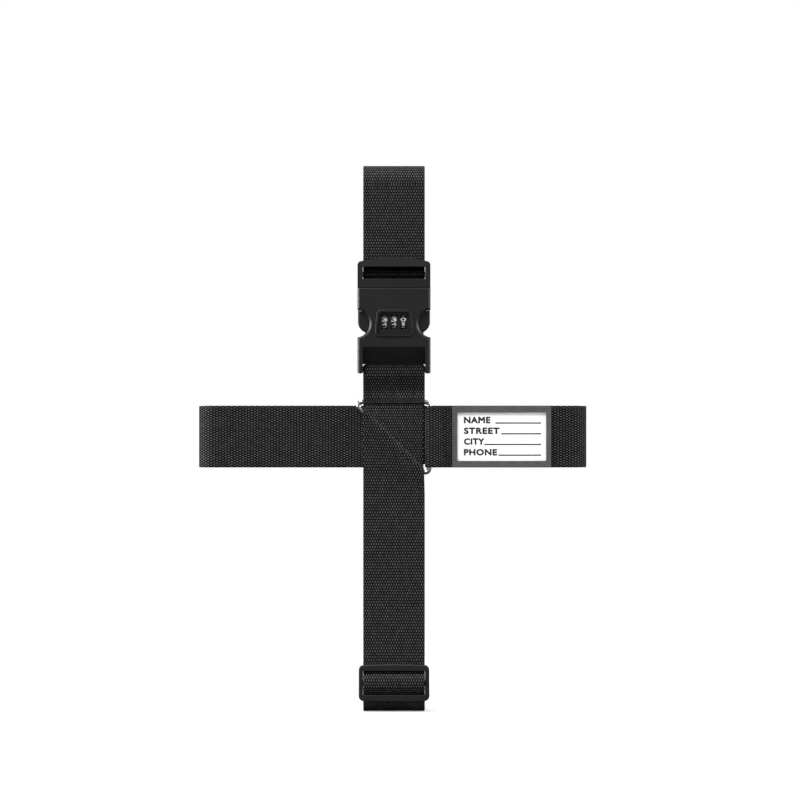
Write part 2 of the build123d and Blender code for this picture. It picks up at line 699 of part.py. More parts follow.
# ---------------------------------------------------------------- buckle, male half
with BuildPart() as male:
    with BuildSketch(front_plane(MALE_BACK)):
        with BuildLine():
            half = MALE_W / 2
            Polyline((-half, MALE_SHOULDER_Z), (-half, MALE_Z0), (half, MALE_Z0), (half, MALE_SHOULDER_Z))
            ThreePointArc((half, MALE_SHOULDER_Z), (0, MALE_CROWN_Z), (-half, MALE_SHOULDER_Z))
        make_face()
        fillet(vertices().group_by(Axis.Y)[-1], 3.0)
    extrude(amount=MALE_FRONT - MALE_BACK)
    chamfer(male.faces().sort_by(Axis.Y)[0].edges().sort_by(Axis.Z)[0], EDGE_BREAK)
    # the front falls back towards the crown
    with BuildSketch(Plane.YZ):
        with BuildLine():
            Polyline(
                (-MALE_FRONT, MALE_WIN_Z1 + 1),
                (-MALE_FRONT + MALE_FALL, MALE_CROWN_Z),
                (-MALE_FRONT - 1, MALE_CROWN_Z),
                (-MALE_FRONT - 1, MALE_WIN_Z1 + 1),
                close=True,
            )
        make_face()
    extrude(amount=BUCKLE_W, both=True, mode=Mode.SUBTRACT)
    # window for the webbing, with its back upper edge cut away
    with BuildSketch(front_plane(MALE_BACK)):
        with Locations((0, (MALE_WIN_Z0 + MALE_WIN_Z1) / 2)):
            Rectangle(2 * MALE_WIN_HALF, MALE_WIN_Z1 - MALE_WIN_Z0)
    extrude(amount=MALE_FRONT - MALE_BACK, mode=Mode.SUBTRACT)
    window_rim = male.faces().sort_by(Axis.Y)[0].inner_wires()[0].edges()
    chamfer(window_rim, WINDOW_BREAK)
    with BuildSketch(Plane.YZ):
        with BuildLine():
            Polyline(
                (-MALE_BACK, MALE_WIN_Z1 + 2.8),
                (-MALE_BACK - 2.8, MALE_WIN_Z1),
                (-MALE_BACK, MALE_WIN_Z1),
                close=True,
            )
        make_face()
    extrude(amount=MALE_WIN_HALF, both=True, mode=Mode.SUBTRACT)
    with Locations(Location((0, -LADDER_DEPTH, LADDER_Z), (0, 90, 0))):
        Cylinder(LADDER_R, 2 * MALE_WIN_HALF + 2)
    # plug that enters the female half's mouth, and its centre guide
    with BuildSketch(front_plane(MALE_BACK)):
        with Locations((0, (PLUG_Z0 + MALE_Z0) / 2)):
            Rectangle(2 * CAV_HALF - 1.0, MALE_Z0 - PLUG_Z0)
    extrude(amount=BUCKLE_FRONT - WALL - 0.5 - MALE_BACK)
    with BuildSketch(front_plane(MALE_BACK + 2.0)):
        with Locations((0, PLUG_Z0 - 4.0)):
            Rectangle(9.0, 8.5)
    extrude(amount=7.0)
keep(male, "male_frame")

def scoop_edge(x):
    """Height of the prong's shoulder at x, just inside the scoop's upper edge."""
    return SCOOP_Z + math.sqrt((SCOOP_R - 0.3) ** 2 - (SCOOP_X - x) ** 2)


for label, side in (("left", -1), ("right", 1)):
    with BuildPart() as prong:
        with BuildSketch(front_plane(PRONG_BACK)):
            with BuildLine():
                round_x = PRONG_OUT - PRONG_HEAD_R
                round_z = PRONG_TIP_Z + PRONG_HEAD_R
                mid = PRONG_HEAD_R * math.sqrt(0.5)
                catch_mid = (PRONG_OUT + PRONG_CATCH_X) / 2
                Polyline(
                    (side * PRONG_CATCH_X, scoop_edge(PRONG_CATCH_X)),
                    (side * PRONG_CATCH_X, PRONG_SHOULDER_Z),
                    (side * PRONG_IN, PRONG_SHOULDER_Z),
                    (side * PRONG_IN, PRONG_TIP_Z),
                    (side * round_x, PRONG_TIP_Z),
                )
                ThreePointArc(
                    (side * round_x, PRONG_TIP_Z),
                    (side * (round_x + mid), round_z - mid),
                    (side * PRONG_OUT, round_z),
                )
                Line((side * PRONG_OUT, round_z), (side * PRONG_OUT, scoop_edge(PRONG_OUT)))
                ThreePointArc(
                    (side * PRONG_OUT, scoop_edge(PRONG_OUT)),
                    (side * catch_mid, scoop_edge(catch_mid)),
                    (side * PRONG_CATCH_X, scoop_edge(PRONG_CATCH_X)),
                )
            make_face()
        extrude(amount=PRONG_FRONT - PRONG_BACK)
        outer_edges = prong.faces().sort_by(Axis.X)[-1 if side > 0 else 0].edges().filter_by(Axis.Z)
        fillet(outer_edges, 1.5)
        with BuildSketch(front_plane(PRONG_BACK + 1.5)):
            arm_top = PLUG_Z0 - SHEET_GAP
            arm_bottom = PRONG_SHOULDER_Z - 1.0
            with Locations((side * (PRONG_IN + PRONG_ARM_OUT) / 2, (arm_bottom + arm_top) / 2)):
                Rectangle(PRONG_ARM_OUT - PRONG_IN, arm_top - arm_bottom)
        extrude(amount=PRONG_FRONT - PRONG_BACK - 3.0)
    keep(prong, f"prong_{label}")

# ---------------------------------------------------------------- slider
BULGE = SLIDER_BAR_BACK + SLIDER_BAR_T + GAP + 1.5 * WEB_T + GAP  # middle of the ply over the bar
with BuildPart() as slider:
    with BuildSketch(front_plane(SLIDER_BACK)):
        with BuildLine():
            hw = SLIDER_W / 2
            hh = SLIDER_H / 2 - 0.8
            Polyline((-hw, SLIDER_Z + hh), (-hw, SLIDER_Z - hh))
            ThreePointArc((-hw, SLIDER_Z - hh), (0, SLIDER_Z - SLIDER_H / 2), (hw, SLIDER_Z - hh))
            Polyline((hw, SLIDER_Z - hh), (hw, SLIDER_Z + hh))
            ThreePointArc((hw, SLIDER_Z + hh), (0, SLIDER_Z + SLIDER_H / 2), (-hw, SLIDER_Z + hh))
        make_face()
        fillet(vertices(), SLIDER_CORNER_R)
        with Locations((0, SLIDER_Z)):
            RectangleRounded(SLIDER_WIN_W, SLIDER_WIN_H, SLIDER_WIN_R, mode=Mode.SUBTRACT)
    extrude(amount=SLIDER_T)
    chamfer(slider.faces().sort_by(Axis.Y)[0].outer_wire().edges(), SLIDER_CHAMFER)
    chamfer(slider.faces().sort_by(Axis.Y)[0].inner_wires()[0].edges(), WINDOW_BREAK)
    with BuildSketch(front_plane(SLIDER_BAR_BACK)):
        with Locations((0, SLIDER_Z)):
            Rectangle(SLIDER_WIN_W + 1.0, SLIDER_BAR_H)
    extrude(amount=SLIDER_BAR_T)
    bar_edges = slider.edges().filter_by(Axis.X).filter_by(
        lambda e: abs(e.center().Z - SLIDER_Z) < SLIDER_BAR_H
    )
    fillet(bar_edges, 1.1)
keep(slider, "slider_frame")

SEWN_HALF = SLIDER_BAR_H / 2 + GAP + WEB_T / 2
SEWN_BACK = SLIDER_BAR_BACK - GAP - WEB_T / 2
SEWN_FRONT = SLIDER_BAR_BACK + SLIDER_BAR_T + GAP + WEB_T / 2
with BuildPart() as sewn_end:
    with BuildSketch(Plane.YZ):
        with BuildLine():
            bent_line(
                [
                    (-SEWN_BACK, SLIDER_Z - SEWN_HALF),
                    (-SEWN_BACK, SLIDER_Z + SEWN_HALF),
                    (-SEWN_FRONT, SLIDER_Z + SEWN_HALF),
                    (-SEWN_FRONT, SLIDER_Z - SEWN_HALF),
                ],
                [1.2] * 4,
                close=True,
            )
        trace(line_width=WEB_T)
    extrude(amount=WEB_W / 2, both=True)
keep(sewn_end, "slider_sewn_end_webbing")

with BuildPart() as over_bar:
    with BuildSketch(Plane.YZ):
        with BuildLine():
            foot = SLIDER_BACK + WEB_T / 2
            reach = SLIDER_WIN_H / 2 - WEB_T / 2 - 0.4
            bent_line(
                [
                    (-foot + 0.6, SLIDER_Z - reach),
                    (-foot - 1.2, SLIDER_Z - reach),
                    (-BULGE, SLIDER_Z - SEWN_HALF + 0.2),
                    (-BULGE, SLIDER_Z + SEWN_HALF - 0.2),
                    (-foot - 1.2, SLIDER_Z + reach),
                    (-foot + 0.6, SLIDER_Z + reach),
                ],
                [0.9, 3.0, 3.0, 0.9],
            )
        trace(line_width=WEB_T)
    extrude(amount=WEB_W / 2, both=True)
keep(over_bar, "slider_over_bar_webbing")

# ---------------------------------------------------------------- address tag
TAG_X = TAG_X0 + TAG_W / 2
BACKING = FRONT + PITCH + SHEET_GAP
CARD = BACKING + TAG_BACKING_T + SHEET_GAP
CLEAR = CARD + CARD_T + SHEET_GAP
TAG_FRAME = CLEAR + CLEAR_T + SHEET_GAP

with BuildPart() as tag_backing:
    with BuildSketch(front_plane(BACKING)):
        with Locations((TAG_X, CROSS_Z)):
            RectangleRounded(TAG_W, WEB_W, 1.0)
    extrude(amount=TAG_BACKING_T)
keep(tag_backing, "tag_backing")

with BuildPart() as card:
    with BuildSketch(front_plane(CARD)):
        with Locations((TAG_X, CROSS_Z)):
            RectangleRounded(TAG_WIN_W + 3.0, TAG_WIN_H + 4.0, 1.0)
    extrude(amount=CARD_T)
keep(card, "tag_card")

with BuildPart() as clear:
    with BuildSketch(front_plane(CLEAR)):
        with Locations((TAG_X, CROSS_Z)):
            Rectangle(TAG_WIN_W + 3.2, TAG_WIN_H + 5.0)
    extrude(amount=CLEAR_T)
keep(clear, "tag_window")

with BuildPart() as tag_frame:
    with BuildSketch(front_plane(TAG_FRAME)):
        with Locations((TAG_X, CROSS_Z)):
            RectangleRounded(TAG_W, WEB_W, 1.0)
    extrude(amount=TAG_FRAME_T)
    # rim down to the backing on three sides; the right end stays open for the card
    with BuildSketch(front_plane(BACKING + TAG_BACKING_T)):
        with Locations((TAG_X, CROSS_Z)):
            RectangleRounded(TAG_W, WEB_W, 1.0)
        with Locations((TAG_X + TAG_RIM / 2 + 0.1, CROSS_Z)):
            Rectangle(TAG_W - TAG_RIM + 0.2, WEB_W - 2 * TAG_RIM, mode=Mode.SUBTRACT)
    extrude(amount=TAG_FRAME - BACKING - TAG_BACKING_T)
    with BuildSketch(front_plane(TAG_FRAME)):
        with Locations((TAG_X, CROSS_Z)):
            RectangleRounded(TAG_WIN_W, TAG_WIN_H, 0.8)
    extrude(amount=TAG_FRAME_T, mode=Mode.SUBTRACT)
keep(tag_frame, "tag_frame")
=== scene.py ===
import math

import bmesh
import bpy
import numpy as np
from mathutils import Matrix, Vector


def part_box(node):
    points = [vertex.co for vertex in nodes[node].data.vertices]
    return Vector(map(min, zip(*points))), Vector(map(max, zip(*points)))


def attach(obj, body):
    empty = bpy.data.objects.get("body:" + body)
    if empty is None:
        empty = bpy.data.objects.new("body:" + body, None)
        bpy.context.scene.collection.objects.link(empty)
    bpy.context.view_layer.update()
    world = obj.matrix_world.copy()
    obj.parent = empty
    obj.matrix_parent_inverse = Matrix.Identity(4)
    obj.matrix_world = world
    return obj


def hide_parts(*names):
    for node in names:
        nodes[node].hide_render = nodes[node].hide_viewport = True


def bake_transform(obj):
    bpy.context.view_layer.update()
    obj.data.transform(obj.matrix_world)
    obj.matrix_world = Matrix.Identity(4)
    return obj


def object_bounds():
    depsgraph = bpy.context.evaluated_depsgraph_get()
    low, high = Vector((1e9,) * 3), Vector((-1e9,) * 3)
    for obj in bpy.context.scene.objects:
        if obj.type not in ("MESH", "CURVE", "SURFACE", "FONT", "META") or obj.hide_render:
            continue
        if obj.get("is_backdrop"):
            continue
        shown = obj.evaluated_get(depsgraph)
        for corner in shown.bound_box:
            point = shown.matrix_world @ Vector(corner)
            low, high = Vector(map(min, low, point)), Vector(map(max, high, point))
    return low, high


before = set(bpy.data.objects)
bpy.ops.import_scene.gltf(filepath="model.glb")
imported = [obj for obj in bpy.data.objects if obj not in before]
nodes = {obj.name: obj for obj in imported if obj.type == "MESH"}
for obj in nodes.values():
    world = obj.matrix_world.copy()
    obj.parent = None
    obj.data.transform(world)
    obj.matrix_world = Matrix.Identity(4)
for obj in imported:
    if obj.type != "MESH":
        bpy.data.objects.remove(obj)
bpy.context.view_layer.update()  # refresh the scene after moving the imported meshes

# ---------------------------------------------------------------- sizes, in metres, from the frame
run_low, run_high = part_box("front_run_webbing")
loop_low, loop_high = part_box("outer_loop_webbing")
level_low, level_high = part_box("level_loop_webbing")
inner_low, inner_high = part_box("buckle_run_inner_webbing")
ring_low, ring_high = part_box("triangle_ring")
frame_low, frame_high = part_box("tag_frame")
card_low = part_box("tag_card")[0]

WEB_W = run_high.x - run_low.x
WEB_T = run_high.y - run_low.y
PITCH = inner_high.y - run_high.y  # from one ply to the next
CLEARANCE = 0.0001  # between a bar and the ply round it
CORNER_EASE = 0.00005  # so that two arcs that meet leave a short run between them
PLY0 = -(inner_low.y + inner_high.y) / 2  # depth of a ply that lies on the case
PLY1 = PLY0 + PITCH
CASE_EDGE_R = 0.012
HALF_PLY = 0.00075  # half a ply and what it stands clear of the case
EDGE_R = CASE_EDGE_R + HALF_PLY  # middle of ply 0 round the case's edges
CROSS_Z = (level_low.z + level_high.z) / 2
RING_R = (ring_high.y - ring_low.y) / 2
RING_DEPTH = -(ring_low.y + ring_high.y) / 2
WRAP_R = RING_R + CLEARANCE + WEB_T / 2
RING_X = ring_high.x - RING_R
RING_Z = ring_high.z - RING_R
HYP = CROSS_Z - (WRAP_R + WEB_T / 2) * math.sqrt(2)  # long bar: z = HYP - x

# ---------------------------------------------------------------- camera, at the object's front
HEIGHT = loop_high.z - loop_low.z
VIEW_WIDTH = 1.4626 * HEIGHT
DISTANCE = 4.0
LOOK_AT = Vector((0.011 * HEIGHT, run_low.y, 0.5705 * HEIGHT))

camera_data = bpy.data.cameras.new("camera")
camera_data.sensor_width = 36.0
camera_data.lens = 36.0 * DISTANCE / VIEW_WIDTH
camera = bpy.data.objects.new("camera", camera_data)
camera.location = LOOK_AT + Vector((0, -DISTANCE, 0))
camera.rotation_euler = (math.radians(90), 0, 0)
bpy.context.scene.collection.objects.link(camera)
bpy.context.scene.camera = camera


# ---------------------------------------------------------------- node helpers
class Shader:
    """A material with one Principled shader, and short ways to add nodes to it."""

    def __init__(self, name, **sockets):
        self.material = bpy.data.materials.new(name)
        self.material.use_nodes = True
        self.tree = self.material.node_tree
        self.bsdf = self.tree.nodes["Principled BSDF"]
        for key, value in sockets.items():
            self.bsdf.inputs[key.replace("_", " ")].default_value = value

    def node(self, kind, **settings):
        made = self.tree.nodes.new(kind)
        for key, value in settings.items():
            setattr(made, key, value)
        return made

    def link(self, a, b):
        self.tree.links.new(a, b)

    def math(self, operation, a, b=None):
        made = self.node("ShaderNodeMath", operation=operation)
        for socket, value in zip(made.inputs, (a, b)):
            if isinstance(value, (int, float)):
                socket.default_value = value
            elif value is not None:
                self.link(value, socket)
        return made.outputs[0]

    def span(self, value, low, high, to_low=0.0, to_high=1.0):
        made = self.node("ShaderNodeMapRange", interpolation_type="SMOOTHSTEP")
        self.link(value, made.inputs["Value"])
        made.inputs["From Min"].default_value = low
        made.inputs["From Max"].default_value = high
        made.inputs["To Min"].default_value = to_low
        made.inputs["To Max"].default_value = to_high
        return made.outputs["Result"]

    def mix(self, factor, a, b):
        made = self.node("ShaderNodeMix", data_type="RGBA")
        self.link(factor, made.inputs["Factor"])
        for socket, value in ((made.inputs[6], a), (made.inputs[7], b)):
            if isinstance(value, tuple):
                socket.default_value = value + (1.0,)
            else:
                self.link(value, socket)
        return made.outputs[2]

    def noise(self, vector, scale, detail=2.0, rough=0.5):
        made = self.node("ShaderNodeTexNoise")
        self.link(vector, made.inputs["Vector"])
        made.inputs["Scale"].default_value = scale
        made.inputs["Detail"].default_value = detail
        made.inputs["Roughness"].default_value = rough
        return made.outputs["Fac"]

    def combine(self, x, y, z=0.0):
        made = self.node("ShaderNodeCombineXYZ")
        for socket, value in zip(made.inputs, (x, y, z)):
            if isinstance(value, (int, float)):
                socket.default_value = value
            else:
                self.link(value, socket)
        return made.outputs[0]

    def place(self):
        return self.node("ShaderNodeTexCoord").outputs["Object"]

    def bump(self, height, distance, strength=1.0):
        made = self.node("ShaderNodeBump")
        made.inputs["Distance"].default_value = distance
        made.inputs["Strength"].default_value = strength
        self.link(height, made.inputs["Height"])
        self.link(made.outputs["Normal"], self.bsdf.inputs["Normal"])

    def colour(self, value):
        self.link(value, self.bsdf.inputs["Base Color"])

    def rough(self, value):
        self.link(value, self.bsdf.inputs["Roughness"])


# ---------------------------------------------------------------- materials
FLOAT_ACROSS = 0.00203  # weave: from one raised float to the next across the strap
FLOAT_ALONG = 0.00235  # and from one row to the next along it


def webbing_material(name, from_place=False):
    """Black webbing: staggered rows of raised floats, with a painted highlight on the floats and
    painted shade in the valleys between them. Its own coordinates run across and along.
    """
    m = Shader(name, Specular_IOR_Level=0.14)
    if from_place:
        where = m.place()
    else:
        where = m.node("ShaderNodeAttribute", attribute_name="weave").outputs["Vector"]
    split = m.node("ShaderNodeSeparateXYZ")
    m.link(where, split.inputs[0])
    across = split.outputs[0]
    along = split.outputs[2 if from_place else 1]
    drift = m.noise(m.combine(m.math("MULTIPLY", across, 0.4), along), 900.0, 2.0)
    wobble = m.math("MULTIPLY", m.math("SUBTRACT", drift, 0.5), 0.9)
    turn_u = m.math("ADD", m.math("MULTIPLY", across, 2 * math.pi / FLOAT_ACROSS), wobble)
    turn_v = m.math("ADD", m.math("MULTIPLY", along, math.pi / FLOAT_ALONG), wobble)
    waves = m.math("MULTIPLY", m.math("COSINE", turn_u), m.math("COSINE", turn_v))
    raised = m.span(waves, 0.20, 0.90)
    filament = m.noise(m.combine(m.math("MULTIPLY", across, 7.0), along), 1400.0, 2.0, 0.6)
    uneven = m.noise(m.combine(across, m.math("MULTIPLY", along, 0.5)), 260.0, 3.0, 0.6)
    light = m.math("MULTIPLY", raised, m.span(filament, 0.25, 0.75, 0.45, 1.0))
    light = m.math("MULTIPLY", light, m.span(uneven, 0.3, 0.7, 0.55, 1.0))
    # painted highlight and shade: the raised floats are coloured light and the valleys near black,
    # standing in for the sheen on the floats and the shade between them; the filament and uneven
    # noise only vary this at random
    m.colour(m.mix(light, (0.0022, 0.0022, 0.0025), (0.165, 0.165, 0.170)))
    m.rough(m.span(raised, 0.0, 1.0, 0.85, 0.52))
    height = m.math("ADD", m.math("MULTIPLY", waves, 0.5), m.math("MULTIPLY", filament, 0.3))
    m.bump(height, 0.00035, 0.8)
    return m.material


def plastic_material(name, base, roughness):
    """Moulded acetal: fine spark-eroded grain and faint flow marks."""
    m = Shader(name, Specular_IOR_Level=0.30)
    grain = m.noise(m.place(), 2600.0, 3.0, 0.6)
    cloud = m.noise(m.place(), 35.0, 2.0)
    darker, lighter = tuple(c * 0.94 for c in base), tuple(c * 1.06 for c in base)
    m.colour(m.mix(m.span(cloud, 0.3, 0.7), darker, lighter))
    m.rough(m.span(grain, 0.3, 0.7, roughness - 0.07, roughness + 0.07))
    m.bump(grain, 0.00004, 0.35)
    return m.material


def metal_material(name, base, roughness, scratch_scale, brushed=1.0):
    """Bright metal with faint rubbing marks; brushed above 1 draws them out along X."""
    m = Shader(name, Metallic=1.0)
    split = m.node("ShaderNodeSeparateXYZ")
    m.link(m.place(), split.inputs[0])
    x, y, z = split.outputs
    marks = m.noise(m.combine(m.math("DIVIDE", x, brushed), y, z), scratch_scale, 4.0, 0.65)
    m.colour(m.mix(m.span(marks, 0.3, 0.75), tuple(c * 0.88 for c in base), base))
    m.rough(m.span(marks, 0.25, 0.75, roughness * 0.7, roughness * 1.5))
    m.bump(marks, 0.00002, 0.3)
    return m.material


def leatherette_material():
    """Grey coated fabric with a fine pebble grain."""
    m = Shader("tag_leatherette", Specular_IOR_Level=0.3)
    cells = m.node("ShaderNodeTexVoronoi", feature="SMOOTH_F1")
    m.link(m.place(), cells.inputs["Vector"])
    cells.inputs["Scale"].default_value = 1500.0
    pebble = cells.outputs["Distance"]
    cloud = m.noise(m.place(), 180.0, 3.0)
    tone = m.mix(m.span(cloud, 0.3, 0.7), (0.073, 0.073, 0.075), (0.096, 0.096, 0.099))
    m.colour(m.mix(m.span(pebble, 0.15, 0.75, 0.0, 0.45), tone, (0.050, 0.050, 0.052)))
    m.rough(m.span(pebble, 0.1, 0.8, 0.52, 0.72))
    m.bump(m.math("SUBTRACT", 1.0, pebble), 0.00012, 0.6)
    return m.material


def card_material():
    """White card stock with a faint paper fibre."""
    m = Shader("card", Specular_IOR_Level=0.25)
    fibre = m.noise(m.place(), 1200.0, 4.0, 0.7)
    m.colour(m.mix(m.span(fibre, 0.3, 0.7), (0.93, 0.93, 0.925), (0.97, 0.97, 0.97)))
    m.rough(m.span(fibre, 0.3, 0.7, 0.55, 0.7))
    m.bump(fibre, 0.00002, 0.3)
    return m.material


def film_material():
    """Clear vinyl: shows the card, with a soft shine and a faint ripple."""
    m = Shader("clear_film", Specular_IOR_Level=0.2, Alpha=0.022)
    ripple = m.noise(m.place(), 90.0, 2.0)
    m.colour(m.mix(ripple, (0.93, 0.94, 0.95), (0.97, 0.97, 0.97)))
    m.rough(m.span(ripple, 0.3, 0.7, 0.12, 0.22))
    m.bump(ripple, 0.0001, 0.2)
    return m.material


def ink_material(name, base, roughness):
    """Printed or moulded-in marking, a little uneven."""
    m = Shader(name, Specular_IOR_Level=0.3)
    speck = m.noise(m.place(), 2500.0, 3.0, 0.6)
    m.colour(m.mix(m.span(speck, 0.3, 0.8), base, tuple(min(1.0, c * 0.85 + 0.004) for c in base)))
    m.rough(m.span(speck, 0.3, 0.7, roughness - 0.05, roughness + 0.05))
    return m.material


def thread_material(name, base):
    """Twisted sewing thread."""
    m = Shader(name, Specular_IOR_Level=0.3)
    twist = m.noise(m.place(), 3500.0, 2.0)
    m.colour(m.mix(m.span(twist, 0.3, 0.7), tuple(c * 0.6 for c in base), base))
    m.rough(m.span(twist, 0.3, 0.7, 0.55, 0.75))
    m.bump(twist, 0.00008, 0.6)
    return m.material


WEBBING = webbing_material("webbing")
WEBBING_UPRIGHT = webbing_material("webbing_upright", from_place=True)
PLASTIC = plastic_material("buckle_plastic", (0.0102, 0.0102, 0.0107), 0.44)
DIAL_PLASTIC = plastic_material("dial_plastic", (0.010, 0.010, 0.0106), 0.34)
CHROME = metal_material("ring_chrome", (0.86, 0.86, 0.88), 0.07, 700.0)
STEEL = metal_material("steel", (0.56, 0.56, 0.58), 0.28, 900.0, 6.0)
BRASS = metal_material("brass", (0.72, 0.53, 0.25), 0.25, 900.0, 6.0)
LEATHERETTE = leatherette_material()
CARD = card_material()
FILM = film_material()
INK = ink_material("card_ink", (0.012, 0.012, 0.013), 0.5)
DIGIT_WHITE = ink_material("digit_white", (0.84, 0.84, 0.83), 0.45)
THREAD = thread_material("black_thread", (0.030, 0.030, 0.032))
GREY_THREAD = thread_material("grey_thread", (0.135, 0.135, 0.14))


# ---------------------------------------------------------------- mesh helpers
def new_piece(name, verts, faces, material, body, stands_for=(), smooth=True):
    mesh = bpy.data.meshes.new(name)
    mesh.from_pydata([tuple(v) for v in verts], [], faces)
    mesh.validate()
    bm = bmesh.new()
    bm.from_mesh(mesh)
    bmesh.ops.recalc_face_normals(bm, faces=bm.faces)
    bm.to_mesh(mesh)
    bm.free()
    for polygon in mesh.polygons:
        polygon.use_smooth = smooth
    mesh.set_sharp_from_angle(angle=math.radians(50))
    mesh.materials.append(material)
    piece = bpy.data.objects.new(name, mesh)
    bpy.context.scene.collection.objects.link(piece)
    if body:
        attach(piece, body)
    if stands_for:
        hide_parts(*stands_for)
    return piece


def bent_path(corners, radii, step, closed=False, arc_step=math.radians(6)):
    """Points along straight runs joined by tangent arcs, one radius for each corner."""
    pts = [Vector(c) for c in corners]
    count = len(pts)
    inner = range(count) if closed else range(1, count - 1)
    stops = []
    if not closed:
        stops.append([pts[0]])
    for i, radius in zip(inner, radii):
        here = pts[i]
        back = (pts[i - 1] - here).normalized()
        on = (pts[(i + 1) % count] - here).normalized()
        half = back.angle(on) / 2
        centre = here + (back + on).normalized() * radius / math.sin(half)
        start = here + back * radius / math.tan(half) - centre
        turn = math.pi - 2 * half
        sign = 1 if (back.y * on.x - back.x * on.y) > 0 else -1
        parts = max(3, math.ceil(turn / arc_step))
        arc = []
        for k in range(parts + 1):
            angle = sign * turn * k / parts
            c, s = math.cos(angle), math.sin(angle)
            arc.append(centre + Vector((c * start.x - s * start.y, s * start.x + c * start.y)))
        stops.append(arc)
    if not closed:
        stops.append([pts[-1]])
    out = []
    for k, arc in enumerate(stops):
        if k or closed:
            last = stops[k - 1][-1]
            run = (arc[0] - last).length
            parts = max(1, round(run / step))
            out += [last.lerp(arc[0], j / parts) for j in range(1, parts)]
        out += arc
    return out


def path_frames(points, closed=False):
    """(point, normal, length so far) for each point of a 2D path."""
    frames = []
    length = 0.0
    count = len(points)
    for i, p in enumerate(points):
        before = points[i - 1] if (i or closed) else p
        after = points[(i + 1) % count] if (i < count - 1 or closed) else p
        tangent = (after - before).normalized()
        if i:
            length += (p - points[i - 1]).length
        frames.append((p, Vector((-tangent.y, tangent.x)), length))
    return frames


def web_section(width=WEB_W, thick=WEB_T, columns=24, edge_steps=4):
    """Closed outline of the webbing's section: (across, out), with rolled selvedges."""
    r = thick / 2
    flat = width / 2 - r
    top = [(-flat + 2 * flat * k / columns, r) for k in range(columns + 1)]
    roll = [math.pi / 2 - math.pi * k / edge_steps for k in range(1, edge_steps)]
    right = [(flat + r * math.cos(t), r * math.sin(t)) for t in roll]
    bottom = [(a, -h) for a, h in reversed(top)]
    left = [(-a, -h) for a, h in right]
    return top + right + bottom + left


def web_strip(name, frames, place, body, stands_for, material=WEBBING, closed=False, start=0.0):
    """Webbing swept along path frames. place(point, across) gives the point in the row frame."""
    section = web_section()
    ring = len(section)
    verts = []
    weave = []
    for point, normal, length in frames:
        for across, out in section:
            verts.append(place(point + normal * out, across))
            weave.append((across, start + length, 0.0))
    faces = sweep_faces(len(frames), ring, closed)
    piece = new_piece(name, verts, faces, material, body, stands_for)
    set_weave(piece, weave)
    return piece


def sweep_faces(rows, ring, closed=False):
    faces = []
    for j in range(rows if closed else rows - 1):
        low, high = j * ring, ((j + 1) % rows) * ring
        for i in range(ring):
            k = (i + 1) % ring
            faces.append((low + i, low + k, high + k, high + i))
    if not closed:
        faces.append(tuple(range(ring)))
        faces.append(tuple((rows - 1) * ring + i for i in range(ring)))
    return faces


def set_weave(piece, values):
    attribute = piece.data.attributes.new("weave", "FLOAT_VECTOR", "POINT")
    attribute.data.foreach_set("vector", np.array(values, np.float32).ravel())


def on_side(point, across):
    """Places a path drawn in Y and Z; across is X."""
    return Vector((across, point.x, point.y))


def on_level(point, across):
    """Places a path drawn in X and Y; across is height about the crossing."""
    return Vector((point.x, point.y, CROSS_Z + across))


# ---------------------------------------------------------------- upright loop
run_start = run_low.z
run_end = inner_high.z
STEP = 0.006  # between points on long runs
FINE_STEP = 0.001  # and round the bars
for label, n in (("inner_loop_webbing", 0), ("outer_loop_webbing", 1)):
    low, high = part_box(label)
    y = high.y - WEB_T / 2
    z0, z1 = low.z + WEB_T / 2, high.z - WEB_T / 2
    corners = [(-y, run_start), (-y, z0), (y, z0), (y, z1), (-y, z1), (-y, run_end)]
    frames = path_frames(bent_path(corners, [EDGE_R + n * PITCH] * 4, STEP))
    start = run_end - frames[-1][2]
    web_strip(f"web_{label[:5]}_loop", frames, on_side, "strap", [label], start=start)

RUN_ROWS = 40
for label in ("inner", "outer"):
    node = f"buckle_run_{label}_webbing"
    low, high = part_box(node)
    y = (low.y + high.y) / 2
    rows = [Vector((y, low.z + (high.z - low.z) * k / RUN_ROWS)) for k in range(RUN_ROWS + 1)]
    piece = web_strip(f"web_buckle_run_{label}", path_frames(rows), on_side, None, [node],
                      WEBBING_UPRIGHT)
    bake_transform(piece)

wrap_low, wrap_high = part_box("ladder_bar_webbing")
LADDER_R = 0.0022
BAR_PLY = LADDER_R + CLEARANCE + WEB_T / 2
bar_y = wrap_low.y + WEB_T / 2 + BAR_PLY
bar_z = wrap_low.z + WEB_T / 2 + BAR_PLY
WINDOW_DROP = 0.00495  # from the plies' upper ends down to the window's edge
win_top = wrap_high.z - WINDOW_DROP
corners = [
    (-PLY0, wrap_high.z),
    (-PLY0, win_top + 0.0015),
    (bar_y + 0.00192, bar_z - BAR_PLY),
    (bar_y - BAR_PLY, bar_z - BAR_PLY),
    (bar_y - BAR_PLY, bar_z + 0.00155),
    (-PLY1, win_top + 0.0012),
    (-PLY1, wrap_high.z),
]
frames = path_frames(bent_path(corners, [0.003, 0.0026, 0.0026, 0.0026, 0.0015], FINE_STEP))
web_strip("web_ladder_bar", frames, on_side, "male_half", ["ladder_bar_webbing"])


# ---------------------------------------------------------------- front run and fold in one ply
def fold_profile():
    """Section across the ring's long bar: u away from the strap, v towards the front."""
    corners = [
        (-0.060, PLY1 - RING_DEPTH),
        (-0.013, PLY1 - RING_DEPTH),
        (-0.0015, WRAP_R),
        (WRAP_R, WRAP_R),
        (WRAP_R, -WRAP_R),
        (-0.120, -WRAP_R),
    ]
    radii = [0.012, 0.003, WRAP_R - CORNER_EASE, WRAP_R - CORNER_EASE]
    return path_frames(bent_path(corners, radii, 0.002, arc_step=math.radians(5)))


